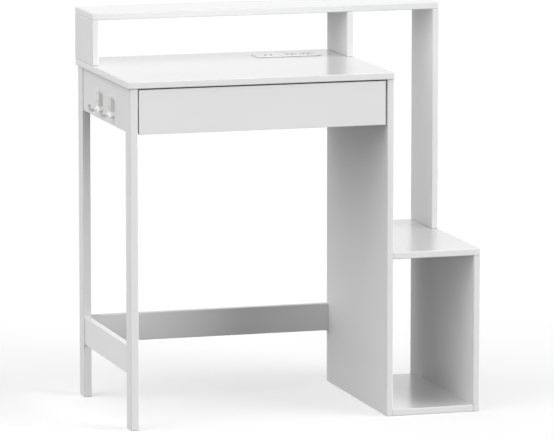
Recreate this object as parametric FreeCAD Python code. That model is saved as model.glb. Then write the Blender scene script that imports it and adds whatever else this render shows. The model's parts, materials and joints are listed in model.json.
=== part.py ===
import FreeCAD, Part
import os

V = FreeCAD.Vector
X = V(1, 0, 0)
Y = V(0, 1, 0)
Z = V(0, 0, 1)

# Driving dimensions in millimetres.

# Whole desk: desktop with the side cabinet at its right, hutch over both
overall_width = 800.0
overall_depth = 450.0
board = 15.0

# Desktop
desktop_width = 600.0
desktop_height = 760.0
front_overhang = 4.5
left_overhang = 6.0

# Left leg frame and rear rails
frame_stock = 18.0
frame_recess = 3.0
leg_depth = 38.0
apron_height = 99.0
rail_height = 62.0
rail_floor_gap = 119.0
top_rail_height = 95.0

# Side cabinet and hutch
cabinet_height = 363.5
cabinet_bottom_setback = 45.0
hutch_depth = 150.0
hutch_height = 115.0

# Drawer
drawer_front_height = 96.5
drawer_top_gap = 3.0
drawer_left_gap = 2.5
drawer_right_gap = 3.5
drawer_back_room = 18.0
drawer_side_drop = 11.0
drawer_side_height = 70.0
drawer_side_board = 12.0
drawer_bottom_board = 3.0
drawer_bottom_rise = 8.0
groove_depth = 5.0
groove_play = 0.1

# Roller runners
runner_gap = 12.7
runner_sheet = 1.2
runner_front_room = 1.0
channel_floor_width = 8.5
channel_lip_width = 6.0
channel_play = 0.8
rail_width = 7.5
support_width = 10.0
roller_radius = 10.0
roller_width = 6.0
roller_inset = 14.0
roller_bore_fit = 0.05
roller_side_play = 0.3
run_clearance = 0.3
axle_radius = 3.0
axle_tail_radius = 2.0
axle_head_radius = 4.5
axle_head_height = 0.8
runner_screw_radius = 1.7
runner_screw_head_radius = 3.2
runner_screw_head_height = 1.4
runner_screw_length = 11.0
drawer_screw_length = 10.0

# Knock-down fasteners
fit = 0.1
overrun = 2.0
cam_thread_radius = 2.5
cam_thread_length = 11.0
cam_shank_radius = 3.0
cam_head_radius = 3.5
cam_head_length = 3.0
cam_setback = 24.0
cam_bore_radius = 4.0
cam_disc_radius = 7.4
cam_disc_floor = 1.2
cam_cap_thickness = 1.0
cam_drive_radius = 3.0
cam_drive_depth = 1.5
dowel_radius = 4.0
dowel_length = 30.0
leg_dowel_depth = 10.0
long_screw_radius = 2.5
long_screw_head_radius = 4.5
long_screw_head_height = 3.0
long_screw_length = 45.0

# Coat hooks on the left apron
hook_width = 18.0
hook_base_depth = 10.0
hook_base_height = 52.0
hook_base_round = 2.0
hook_arm_radius = 4.0
hook_arm_run = 7.0
hook_bend_radius = 11.0
hook_tip_radius = 5.0
hook_drop = 29.0
hook_setback = 148.0
hook_spacing = 101.0
hook_screw_radius = 1.75
hook_screw_head_radius = 3.4
hook_screw_head_height = 2.0
hook_screw_length = 20.0

# Power strip let into the desktop
strip_length = 152.0
strip_depth = 54.0
strip_rise = 2.5
strip_bevel = 1.2
strip_right_margin = 46.0
strip_back_margin = 63.0
strip_rim = 6.0
strip_wall = 2.0
strip_drop = 36.0
strip_fit = 0.3
strip_boss_radius = 2.8
strip_boss_room = 0.6
strip_peg_length = 8.0
strip_screw_radius = 1.4
strip_screw_head_radius = 2.6
strip_screw_head_height = 1.2
outlet_spacing = 38.0
outlet_right_inset = 30.0
outlet_size = 28.0
outlet_flange = 1.2
outlet_recess = 0.5
outlet_thickness = 10.0
slot_pitch = 12.7
slot_width = 2.2
slot_length = 8.0
slot_back_shift = 4.0
ground_radius = 2.6
ground_pitch = 11.9
bar_sheet = 0.8
bar_width = 3.0
bar_gap = 1.5
usb_left_inset = 27.0
usb_pitch = 13.0
usb_width = 5.7
usb_length = 13.1
usb_height = 14.0
usb_wall = 0.4
usb_recess = 0.3
tongue_width = 1.8
tongue_side_room = 0.5
tongue_height = 9.0
usb_board_width = 26.0
usb_board_depth = 30.0
usb_board_thickness = 1.6
usb_post_radius = 3.0
bracket_sheet = 1.5
bracket_width = 20.0
bracket_reach = 16.0
bracket_fall = 16.0
bracket_screw_radius = 1.6
bracket_screw_head_radius = 3.0
bracket_screw_head_height = 1.3
bracket_screw_length = 11.0
bracket_tack_length = 5.0
gland_radius = 5.0
gland_bore_radius = 3.0
gland_flange_radius = 7.0
gland_flange_length = 2.0
gland_length = 8.0

# Places of fasteners along the pieces that they join
desktop_cam_shares = (0.14, 0.56)
cabinet_cam_shares = (0.15, 0.85)
bottom_right_cam_shares = (0.30, 0.70)
hutch_cam_shares = (0.25, 0.75)
hutch_screw_shares = (0.30, 0.70)
top_rail_cam_shares = (0.25, 0.75)
rail_end_cam_share = 0.66
rail_end_dowel_share = 0.30
frame_dowel_shares = (0.22, 0.78)
runner_screw_shares = (0.14, 0.50, 0.80)
drawer_screw_shares = (0.20, 0.50, 0.80)
drawer_cam_shares = (0.37, 0.80)
drawer_corner_shares = (0.45, 0.80)
hook_screw_shares = (0.42, 0.80)
gland_share = 0.25
bracket_tack_shares = (0.2, 0.8)

# Planes of the desk. X runs left to right, Y front to back, Z up from the floor,
# with the origin under the middle of the whole desk, hooks included.
hook_reach = hook_base_depth + hook_arm_run + hook_bend_radius + hook_tip_radius
x_left = (hook_reach - left_overhang - frame_recess - overall_width) / 2
x_right = x_left + overall_width
x_desk_right = x_left + desktop_width
x_frame_out = x_left + left_overhang
x_frame_in = x_frame_out + frame_stock
x_rail_out = x_frame_out + frame_recess
x_rail_mid = (x_rail_out + x_frame_in) / 2
rail_stock = x_frame_in - x_rail_out
x_panel_in = x_desk_right - board
y_front = -overall_depth / 2
y_back = y_front + overall_depth
y_legs = y_front + front_overhang
y_leg_back = y_legs + leg_depth
y_rear_leg = y_back - leg_depth
y_rail = y_back - board
y_rail_mid = y_back - board / 2
y_hutch = y_back - hutch_depth
overall_height = desktop_height + hutch_height
z_under = desktop_height - board
z_shelf = overall_height - board
z_cabinet = cabinet_height - board

holes = {}
pieces = {}


def slab(x0, x1, y0, y1, z0, z1):
    """Board or block between two corners, given in either order along X."""
    return Part.makeBox(abs(x1 - x0), y1 - y0, z1 - z0, V(min(x0, x1), y0, z0))


def rod(start, direction, radius, length):
    return Part.makeCylinder(radius, length, start, direction)


def along(low, high, share):
    return low + (high - low) * share


def put(node, *solids):
    """Add solids to a node."""
    pieces.setdefault(node, []).extend(solids)


def drill(node, *cutters):
    """Remember what is to be cut out of a node's solids."""
    holes.setdefault(node, []).extend(cutters)


def joined(first, *others):
    return first.fuse(list(others)).removeSplitter()


def hole_for(start, direction, radius, length):
    """Blind hole for a round pin that enters at start."""
    return rod(start - direction * overrun, direction, radius + fit, length + overrun + fit)


def cam_joint(holder, carried, point, into, face, thickness, bolts, discs, capped):
    """Cam bolt screwed into holder's face, and the cam disc that draws carried's edge onto it."""
    centre = point + into * cam_setback
    surface = centre + face * (thickness / 2)
    disc_depth = thickness / 2 + cam_head_radius + cam_disc_floor
    thread = rod(point - into * cam_thread_length, into, cam_thread_radius, cam_thread_length)
    shank = rod(point, into, cam_shank_radius, cam_setback - cam_head_length)
    head = rod(centre - into * cam_head_length, into, cam_head_radius, cam_head_length)
    put(bolts, joined(thread, shank, head))
    disc_top = surface - face * cam_cap_thickness
    disc = rod(disc_top, face * -1, cam_disc_radius, disc_depth - cam_cap_thickness)
    channel = rod(centre - into * (cam_disc_radius + overrun), into, cam_head_radius + fit,
                  cam_disc_radius + overrun + fit)
    drive = rod(disc_top, face * -1, cam_drive_radius, cam_drive_depth)
    put(discs, disc.cut([channel, drive]))
    if capped:
        put("cam_caps", rod(surface, face * -1, cam_disc_radius, cam_cap_thickness))
    drill(holder, hole_for(point, into * -1, cam_thread_radius, cam_thread_length))
    drill(carried, hole_for(surface, face * -1, cam_disc_radius, disc_depth))
    drill(carried, rod(point - into * overrun, into, cam_bore_radius, cam_setback + overrun))


def dowel_joint(holder, carried, point, into, depth):
    """Beech dowel, depth deep in holder and the rest of its length in carried."""
    put("frame_dowels", rod(point - into * depth, into, dowel_radius, dowel_length))
    drill(holder, hole_for(point, into * -1, dowel_radius, depth))
    drill(carried, hole_for(point, into, dowel_radius, dowel_length - depth))


def sunk_screw(node, through, into_node, point, into, thickness):
    """Long screw with its head let in flush at point, through one board into the next."""
    head = rod(point, into, long_screw_head_radius, long_screw_head_height)
    shank = rod(point, into, long_screw_radius, long_screw_length)
    put(node, joined(head, shank))
    drill(through, hole_for(point, into, long_screw_head_radius, long_screw_head_height))
    drill(through, hole_for(point, into, long_screw_radius, thickness + overrun))
    drill(into_node, hole_for(point, into, long_screw_radius, long_screw_length))


def pan_screw(node, drilled, point, into, radius, head_radius, head_height, length):
    """Screw whose pan head lies on a face at point."""
    head = rod(point - into * head_height, into, head_radius, head_height)
    shank = rod(point, into, radius, length)
    put(node, joined(head, shank))
    for piece in drilled:
        drill(piece, hole_for(point, into, radius, length))


# Desktop on the leg frame at the left and on the full-height panel at the right;
# apron and lower rail lie a little behind the outer faces of the legs
put("desktop", slab(x_left, x_desk_right, y_front, y_back, z_under, desktop_height))
put("right_side_panel", slab(x_panel_in, x_desk_right, y_legs, y_back, 0, z_under))
put("front_left_leg", slab(x_frame_out, x_frame_in, y_legs, y_leg_back, 0, z_under))
put("rear_left_leg", slab(x_frame_out, x_frame_in, y_rear_leg, y_back, 0, z_under))
z_apron = z_under - apron_height
z_rail_top = rail_floor_gap + rail_height
put("left_side_apron", slab(x_rail_out, x_frame_in, y_leg_back, y_rear_leg, z_apron, z_under))
put("left_lower_rail",
    slab(x_rail_out, x_frame_in, y_leg_back, y_rear_leg, rail_floor_gap, z_rail_top))
z_top_rail = z_under - top_rail_height
put("rear_top_rail", slab(x_frame_in, x_panel_in, y_rail, y_back, z_top_rail, z_under))
put("rear_lower_rail", slab(x_frame_in, x_panel_in, y_rail, y_back, rail_floor_gap, z_rail_top))

# The leg frame is glued up on dowels
frame_rails = (("left_side_apron", z_apron, z_under), ("left_lower_rail", rail_floor_gap, z_rail_top))
for rail, z_low, z_high in frame_rails:
    for share in frame_dowel_shares:
        z = along(z_low, z_high, share)
        half = dowel_length / 2
        dowel_joint("front_left_leg", rail, V(x_rail_mid, y_leg_back, z), Y, half)
        dowel_joint("rear_left_leg", rail, V(x_rail_mid, y_rear_leg, z), Y * -1, half)

# The rear rails hang between the rear leg and the panel, one cam and one dowel at each end
rear_rails = (("rear_top_rail", z_top_rail, z_under, Y * -1),
              ("rear_lower_rail", rail_floor_gap, z_rail_top, Y))
for rail, z_low, z_high, face in rear_rails:
    for holder, x_end, into in (("rear_left_leg", x_frame_in, X), ("right_side_panel", x_panel_in, X * -1)):
        z_cam = along(z_low, z_high, rail_end_cam_share)
        z_dowel = along(z_low, z_high, rail_end_dowel_share)
        cam_joint(holder, rail, V(x_end, y_rail_mid, z_cam), into, face, board,
                  "cam_bolts", "cam_discs", False)
        dowel_joint(holder, rail, V(x_end, y_rail_mid, z_dowel), into, leg_dowel_depth)

# Cam bolts under the desktop hold apron, side panel and rear top rail
for share in desktop_cam_shares:
    y_apron = along(y_leg_back, y_rear_leg, share)
    y_panel = along(y_legs, y_back, share)
    cam_joint("desktop", "left_side_apron", V(x_rail_mid, y_apron, z_under), Z * -1, X,
              rail_stock, "cam_bolts", "cam_discs", True)
    cam_joint("desktop", "right_side_panel", V(x_panel_in + board / 2, y_panel, z_under), Z * -1, X * -1,
              board, "cam_bolts", "cam_discs", True)
for share in top_rail_cam_shares:
    x = along(x_frame_in, x_panel_in, share)
    cam_joint("desktop", "rear_top_rail", V(x, y_rail_mid, z_under), Z * -1, Y * -1, board,
              "cam_bolts", "cam_discs", True)

# Side cabinet, open at front and back
x_cabinet_in = x_right - board
put("cabinet_top", slab(x_desk_right, x_right, y_legs, y_back, z_cabinet, cabinet_height))
y_bottom_back = y_back - cabinet_bottom_setback
put("cabinet_bottom", slab(x_desk_right, x_cabinet_in, y_legs, y_bottom_back, 0, board))
put("cabinet_right_panel", slab(x_cabinet_in, x_right, y_legs, y_back, 0, z_cabinet))
for share in cabinet_cam_shares:
    y = along(y_legs, y_back, share)
    cam_joint("right_side_panel", "cabinet_top", V(x_desk_right, y, z_cabinet + board / 2), X, Z * -1,
              board, "cam_bolts", "cam_discs", True)
    y_low = along(y_legs, y_bottom_back, share)
    cam_joint("right_side_panel", "cabinet_bottom", V(x_desk_right, y_low, board / 2), X, Z * -1,
              board, "cam_bolts", "cam_discs", False)
for share in bottom_right_cam_shares:
    y = along(y_legs, y_bottom_back, share)
    cam_joint("cabinet_right_panel", "cabinet_bottom", V(x_cabinet_in, y, board / 2), X * -1, Z * -1,
              board, "cam_bolts", "cam_discs", False)
for share in desktop_cam_shares:
    y = along(y_legs, y_back, share)
    cam_joint("cabinet_top", "cabinet_right_panel", V(x_cabinet_in + board / 2, y, z_cabinet), Z * -1, X,
              board, "cam_bolts", "cam_discs", True)

# Hutch: three uprights under one long shelf, screwed from below through desktop and cabinet top
put("hutch_shelf", slab(x_left, x_right, y_hutch, y_back, z_shelf, overall_height))
hutch_uprights = (("hutch_left_panel", x_left, desktop_height, "desktop"),
                  ("hutch_divider", x_panel_in, desktop_height, "desktop"),
                  ("hutch_right_upright", x_cabinet_in, cabinet_height, "cabinet_top"))
for upright, x_upright, z_foot, carrier in hutch_uprights:
    put(upright, slab(x_upright, x_upright + board, y_hutch, y_back, z_foot, z_shelf))
    x_middle = x_upright + board / 2
    for share in hutch_cam_shares:
        cam_joint("hutch_shelf", upright, V(x_middle, along(y_hutch, y_back, share), z_shelf), Z * -1, X,
                  board, "cam_bolts", "cam_discs", True)
    for share in hutch_screw_shares:
        foot = V(x_middle, along(y_hutch, y_back, share), z_foot - board)
        sunk_screw("hutch_screws", carrier, upright, foot, Z, board)

# Power strip: outer places on the desktop
x_strip_right = x_panel_in - strip_right_margin
x_strip_left = x_strip_right - strip_length
y_strip_back = y_back - strip_back_margin
y_strip_front = y_strip_back - strip_depth
y_strip = (y_strip_front + y_strip_back) / 2
x_tray_left = x_strip_left + strip_rim
x_tray_right = x_strip_right - strip_rim
y_tray_front = y_strip_front + strip_rim
y_tray_back = y_strip_back - strip_rim
z_tray = desktop_height - strip_drop
z_tray_floor = z_tray + strip_wall
z_cover = desktop_height + strip_rise
drill("desktop", slab(x_tray_left - strip_fit, x_tray_right + strip_fit, y_tray_front - strip_fit,
                      y_tray_back + strip_fit, z_under - overrun, desktop_height + overrun))

# Drawer, set in between the front leg and the side panel, with its front flush with them
x_front_left = x_frame_in + drawer_left_gap
x_front_right = x_panel_in - drawer_right_gap
z_front_top = z_under - drawer_top_gap
z_front = z_front_top - drawer_front_height
y_box = y_legs + board
y_box_back = y_tray_front - drawer_back_room
z_side_top = z_under - drawer_side_drop
z_side = z_side_top - drawer_side_height
x_box_left = x_frame_in + runner_gap
x_box_right = x_panel_in - runner_gap
x_inside_left = x_box_left + drawer_side_board
x_inside_right = x_box_right - drawer_side_board
y_inside_back = y_box_back - drawer_side_board
put("drawer_front", slab(x_front_left, x_front_right, y_legs, y_box, z_front, z_front_top))
put("drawer_left_side", slab(x_box_left, x_inside_left, y_box, y_box_back, z_side, z_side_top))
put("drawer_right_side", slab(x_inside_right, x_box_right, y_box, y_box_back, z_side, z_side_top))
put("drawer_back", slab(x_inside_left, x_inside_right, y_inside_back, y_box_back, z_side, z_side_top))

# The hardboard bottom sits in a groove on all four sides
z_bottom = z_side + drawer_bottom_rise
z_bottom_top = z_bottom + drawer_bottom_board
tongue = groove_depth - groove_play
put("drawer_bottom", slab(x_inside_left - tongue, x_inside_right + tongue, y_box - tongue,
                          y_inside_back + tongue, z_bottom, z_bottom_top))
groove = slab(x_inside_left - groove_depth, x_inside_right + groove_depth, y_box - groove_depth,
              y_inside_back + groove_depth, z_bottom - groove_play, z_bottom_top + groove_play)
for node in ("drawer_front", "drawer_left_side", "drawer_right_side", "drawer_back"):
    drill(node, groove)
drawer_sides = (("drawer_left_side", x_box_left, x_inside_left, X),
                ("drawer_right_side", x_box_right, x_inside_right, X * -1))
for side, x_outside, x_inside, inward in drawer_sides:
    for share in drawer_cam_shares:
        point = V((x_outside + x_inside) / 2, y_box, along(z_side, z_side_top, share))
        cam_joint("drawer_front", side, point, Y, inward, drawer_side_board,
                  "drawer_cam_bolts", "drawer_cam_discs", False)
    for share in drawer_corner_shares:
        point = V(x_outside, y_box_back - drawer_side_board / 2, along(z_side, z_side_top, share))
        sunk_screw("drawer_corner_screws", side, "drawer_back", point, inward, drawer_side_board)

# Roller runners: a channel on the carcase with a front roller, a rail under the drawer side with a rear one
y_channel = y_box + runner_front_room
z_channel_floor = z_side + runner_sheet
z_axle = z_channel_floor + run_clearance + roller_radius
z_rail = z_axle + roller_radius + run_clearance
z_channel_top = z_rail + runner_sheet + channel_play + runner_sheet
y_front_axle = y_channel + roller_inset
y_rear_axle = y_box_back - roller_inset


def roller(x_start, outward, y_axle):
    """Nylon roller with a running bore, from x_start along outward."""
    start = V(x_start, y_axle, z_axle)
    rim = rod(start, outward, roller_radius, roller_width)
    return rim.cut(rod(start - outward * overrun, outward, axle_radius + roller_bore_fit,
                       roller_width + overrun + overrun))


def axle(x_sheet, outward, y_axle):
    """Rivet set in the sheet, which carries a roller and keeps it on with its head."""
    face = V(x_sheet, y_axle, z_axle)
    span = roller_width + roller_side_play + roller_side_play
    tail = rod(face - outward * runner_sheet, outward, axle_tail_radius, runner_sheet)
    pin = rod(face, outward, axle_radius, span)
    head = rod(face + outward * span, outward, axle_head_radius, axle_head_height)
    return joined(tail, pin, head)


runner_sides = (("left", x_frame_in, x_box_left, X, ("front_left_leg", "left_side_apron")),
                ("right", x_panel_in, x_box_right, X * -1, ("right_side_panel",)))
for side, x_carcase, x_drawer, inward, carriers in runner_sides:
    step = inward.x
    x_web = x_carcase + step * runner_sheet
    web = slab(x_carcase, x_web, y_channel, y_box_back, z_side, z_channel_top)
    floor = slab(x_web, x_web + step * channel_floor_width, y_channel, y_box_back, z_side, z_channel_floor)
    lip = slab(x_web, x_web + step * channel_lip_width, y_channel, y_box_back,
               z_channel_top - runner_sheet, z_channel_top)
    channel = side + "_cabinet_runner"
    put(channel, joined(web, floor, lip))
    put("front_roller_axles", axle(x_web, inward, y_front_axle))
    put(side + "_front_roller", roller(x_web + step * roller_side_play, inward, y_front_axle))
    drill(channel, hole_for(V(x_web, y_front_axle, z_axle), inward * -1, axle_tail_radius, runner_sheet))
    for share in runner_screw_shares:
        point = V(x_web, along(y_channel, y_box_back, share), z_axle)
        pan_screw("runner_screws", (channel,) + carriers, point, inward * -1, runner_screw_radius,
                  runner_screw_head_radius, runner_screw_head_height, runner_screw_length)

    x_skin = x_drawer - step * runner_sheet
    skin = slab(x_skin, x_drawer, y_box, y_box_back, z_side - runner_sheet, z_rail + runner_sheet)
    support = slab(x_drawer, x_drawer + step * support_width, y_box, y_box_back,
                   z_side - runner_sheet, z_side)
    rail = slab(x_skin - step * rail_width, x_skin, y_box, y_box_back, z_rail, z_rail + runner_sheet)
    member = side + "_drawer_runner"
    put(member, joined(skin, support, rail))
    put("rear_roller_axles", axle(x_skin, inward * -1, y_rear_axle))
    put(side + "_rear_roller", roller(x_skin - step * roller_side_play, inward * -1, y_rear_axle))
    drill(member, hole_for(V(x_skin, y_rear_axle, z_axle), inward, axle_tail_radius, runner_sheet))
    for share in drawer_screw_shares:
        point = V(x_skin, along(y_box, y_box_back, share), (z_bottom_top + z_rail) / 2)
        pan_screw("drawer_runner_screws", (member, "drawer_" + side + "_side"), point, inward,
                  runner_screw_radius, runner_screw_head_radius, runner_screw_head_height,
                  drawer_screw_length)

# Coat hooks: a rounded base on the apron, and an arm that turns up into a ball tip
z_hook_top = z_under - hook_drop
z_hook = z_hook_top - hook_base_height
z_arm = z_hook + hook_width / 2
hook_names = ("front_hook", "rear_hook")
quarter_turn = 90
for index, name in enumerate(hook_names):
    y_hook = y_legs + hook_setback + index * hook_spacing
    half = hook_width / 2
    low = V(x_rail_out, y_hook, z_arm)
    high = V(x_rail_out, y_hook, z_hook_top - half)
    column = slab(x_rail_out - hook_base_depth, x_rail_out, y_hook - half, y_hook + half, low.z, high.z)
    base = joined(column, rod(low, X * -1, half, hook_base_depth), rod(high, X * -1, half, hook_base_depth))
    x_face = x_rail_out - hook_base_depth
    rim = [e for e in base.Edges if max(abs(v.X - x_face) for v in e.Vertexes) < hook_base_round / 2]
    base = base.makeFillet(hook_base_round, rim)
    reach = hook_base_depth + hook_arm_run
    run = rod(low, X * -1, hook_arm_radius, reach)
    x_turn = x_rail_out - reach
    centre = V(x_turn, y_hook, z_arm + hook_bend_radius)
    section = Part.Face(Part.Wire(Part.makeCircle(hook_arm_radius, V(x_turn, y_hook, z_arm), X)))
    bend = section.revolve(centre, Y, quarter_turn)
    tip = Part.makeSphere(hook_tip_radius, V(x_turn - hook_bend_radius, y_hook, centre.z))
    put(name, joined(base, run, bend, tip))
    for share in hook_screw_shares:
        point = V(x_face, y_hook, along(z_hook, z_hook_top, share))
        seat = point + X * hook_screw_head_height
        head = rod(point, X, hook_screw_head_radius, hook_screw_head_height)
        put("hook_screws", joined(head, rod(seat, X, hook_screw_radius, hook_screw_length)))
        drill(name, hole_for(point, X, hook_screw_head_radius, hook_screw_head_height))
        drill(name, hole_for(point, X, hook_screw_radius, hook_base_depth + overrun))
        drill("left_side_apron", hole_for(seat, X, hook_screw_radius, hook_screw_length))

# Power strip cover, on the desktop all round, with pegs for the screws that hold the tray
cover = slab(x_strip_left, x_strip_right, y_strip_front, y_strip_back, desktop_height, z_cover)
upper_edges = [e for e in cover.Edges if min(v.Z for v in e.Vertexes) > desktop_height]
cover = cover.makeChamfer(strip_bevel, upper_edges)
tray = slab(x_tray_left, x_tray_right, y_tray_front, y_tray_back, z_tray, desktop_height)
hollow = slab(x_tray_left + strip_wall, x_tray_right - strip_wall, y_tray_front + strip_wall,
              y_tray_back - strip_wall, z_tray_floor, desktop_height + overrun)
tray = tray.cut(hollow)
boss_inset = strip_wall + strip_boss_room + strip_boss_radius
z_peg = desktop_height - strip_peg_length
screw_rise = strip_drop - strip_peg_length / 2
for x_boss in (x_tray_left + boss_inset, x_tray_right - boss_inset):
    tray = joined(tray, rod(V(x_boss, y_strip, z_tray), Z, strip_boss_radius, z_peg - z_tray))
    cover = joined(cover, rod(V(x_boss, y_strip, z_peg), Z, strip_boss_radius, strip_peg_length))
    point = V(x_boss, y_strip, z_tray)
    pan_screw("power_strip_screws", ("power_strip_housing", "power_strip_cover"), point, Z,
              strip_screw_radius, strip_screw_head_radius, strip_screw_head_height, screw_rise)

# Two outlets: an insert with two blade slots and a ground hole, held up against the cover by its flange
x_outlets = (x_strip_right - outlet_right_inset - outlet_spacing, x_strip_right - outlet_right_inset)
y_slots = y_strip + slot_back_shift
y_ground = y_slots - ground_pitch
z_insert_top = z_cover - outlet_recess
z_insert = desktop_height - outlet_thickness
half_size = outlet_size / 2
half_flange = half_size + outlet_flange
half_slot = slot_width / 2
for x_outlet in x_outlets:
    face = slab(x_outlet - half_size, x_outlet + half_size, y_strip - half_size, y_strip + half_size,
                desktop_height, z_insert_top)
    flange = slab(x_outlet - half_flange, x_outlet + half_flange, y_strip - half_flange,
                  y_strip + half_flange, z_insert, desktop_height)
    openings = [rod(V(x_outlet, y_ground, z_insert - overrun), Z, ground_radius,
                    outlet_thickness + strip_rise + overrun)]
    for x_slot in (x_outlet - slot_pitch / 2, x_outlet + slot_pitch / 2):
        openings.append(slab(x_slot - half_slot, x_slot + half_slot, y_slots - slot_length / 2,
                             y_slots + slot_length / 2, z_insert - overrun, z_cover))
    put("outlet_inserts", joined(face, flange).cut(openings))
    cover = cover.cut(slab(x_outlet - half_size - fit, x_outlet + half_size + fit,
                           y_strip - half_size - fit, y_strip + half_size + fit,
                           desktop_height - overrun, z_cover + overrun))

# Three brass bars on the tray floor, each with a blade beside its own slot or hole of both outlets
x_bar_left = x_outlets[0] - half_size
x_bar_right = x_outlets[1] + half_size
slot_back = slot_length / 2 + bar_gap
z_bar_top = z_tray_floor + bar_sheet


def bus_bar(y_low, y_high, blades):
    base = slab(x_bar_left, x_bar_right, y_low, y_high, z_tray_floor, z_bar_top)
    return joined(base, *blades)


live_blades = []
neutral_blades = []
ground_blades = []
for x_outlet in x_outlets:
    x_live = x_outlet - slot_pitch / 2 - half_slot
    x_neutral = x_outlet + slot_pitch / 2 + half_slot
    live_blades.append(slab(x_live - bar_sheet, x_live, y_slots, y_slots + slot_back + bar_width,
                            z_tray_floor, z_insert))
    neutral_blades.append(slab(x_neutral, x_neutral + bar_sheet, y_slots - slot_back - bar_width, y_slots,
                               z_tray_floor, z_insert))
    y_pin = y_ground - ground_radius
    ground_blades.append(slab(x_outlet - bar_width / 2, x_outlet + bar_width / 2, y_pin - bar_sheet, y_pin,
                              z_tray_floor, z_insert))
put("outlet_bus_bars", bus_bar(y_slots + slot_back, y_slots + slot_back + bar_width, live_blades))
put("outlet_bus_bars", bus_bar(y_slots - slot_back - bar_width, y_slots - slot_back, neutral_blades))
put("outlet_bus_bars", bus_bar(y_pin - bar_sheet - bar_width, y_pin, ground_blades))

# Two USB ports on a small circuit board, which stands on posts of the tray
z_usb_top = z_cover - usb_recess
z_board_top = z_usb_top - usb_height
z_board = z_board_top - usb_board_thickness
x_first_port = x_strip_left + usb_left_inset
x_board = x_first_port + usb_pitch / 2
half_board = usb_board_width / 2
half_width = usb_width / 2
half_length = usb_length / 2
put("usb_circuit_board", slab(x_board - half_board, x_board + half_board, y_strip - usb_board_depth / 2,
                              y_strip + usb_board_depth / 2, z_board, z_board_top))
post_reach = usb_board_depth / 2 - usb_post_radius
for y_post in (y_strip - post_reach, y_strip + post_reach):
    tray = joined(tray, rod(V(x_board, y_post, z_tray), Z, usb_post_radius, z_board - z_tray))
for x_port in (x_first_port, x_first_port + usb_pitch):
    shell = slab(x_port - half_width, x_port + half_width, y_strip - half_length, y_strip + half_length,
                 z_board_top, z_usb_top)
    mouth = slab(x_port - half_width + usb_wall, x_port + half_width - usb_wall,
                 y_strip - half_length + usb_wall, y_strip + half_length - usb_wall,
                 z_board_top - overrun, z_usb_top + overrun)
    put("usb_ports", shell.cut(mouth))
    x_tongue = x_port - half_width + usb_wall + tongue_side_room
    put("usb_tongues", slab(x_tongue, x_tongue + tongue_width,
                            y_strip - half_length + usb_wall + tongue_side_room,
                            y_strip + half_length - usb_wall - tongue_side_room,
                            z_board_top, z_board_top + tongue_height))
    cover = cover.cut(slab(x_port - half_width - fit, x_port + half_width + fit, y_strip - half_length - fit,
                           y_strip + half_length + fit, desktop_height - overrun, z_cover + overrun))

# Cord gland in the tray's rear wall
gland_point = V(along(x_tray_left, x_tray_right, gland_share), y_tray_back, (z_tray + z_under) / 2)
gland = joined(rod(gland_point - Y * strip_wall, Y, gland_radius, strip_wall + gland_length),
               rod(gland_point, Y, gland_flange_radius, gland_flange_length))
gland_bore = rod(gland_point - Y * (strip_wall + overrun), Y, gland_bore_radius,
                 strip_wall + gland_length + overrun + overrun)
put("cord_gland", gland.cut(gland_bore))
drill("power_strip_housing", rod(gland_point - Y * (strip_wall + overrun), Y, gland_radius + fit,
                                 strip_wall + overrun + overrun))
put("power_strip_cover", cover)
put("power_strip_housing", tray)

# Two brackets clamp the tray to the underside of the desktop
for x_wall, outward in ((x_tray_left, X * -1), (x_tray_right, X)):
    step = outward.x
    y_low = y_strip - bracket_width / 2
    y_high = y_strip + bracket_width / 2
    upright = slab(x_wall, x_wall + step * bracket_sheet, y_low, y_high, z_under - bracket_fall, z_under)
    foot = slab(x_wall, x_wall + step * bracket_reach, y_low, y_high, z_under - bracket_sheet, z_under)
    put("power_strip_brackets", joined(upright, foot))
    x_screw = x_wall + step * (bracket_reach + bracket_sheet) / 2
    pan_screw("power_strip_bracket_screws", ("power_strip_brackets", "desktop"),
              V(x_screw, y_strip, z_under - bracket_sheet), Z, bracket_screw_radius,
              bracket_screw_head_radius, bracket_screw_head_height, bracket_screw_length)
    z_tack = z_under - (bracket_fall + bracket_sheet) / 2
    for share in bracket_tack_shares:
        pan_screw("power_strip_bracket_screws", ("power_strip_brackets", "power_strip_housing"),
                  V(x_wall + step * bracket_sheet, along(y_low, y_high, share), z_tack), outward * -1,
                  bracket_screw_radius, bracket_screw_head_radius, bracket_screw_head_height,
                  bracket_tack_length)

# Cut every hole, then write one file per node
os.makedirs("parts", exist_ok=True)
for node, solids in pieces.items():
    cutters = holes.get(node)
    finished = [solid.cut(cutters) if cutters else solid for solid in solids]
    shape = finished[0] if len(finished) == 1 else Part.makeCompound(finished)
    shape.exportStep("parts/" + node + ".step")
    print(node, len(shape.Solids), round(shape.Volume), shape.isValid())
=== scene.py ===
import json
import math

import bmesh
import bpy
from mathutils import Matrix, Vector

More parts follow.
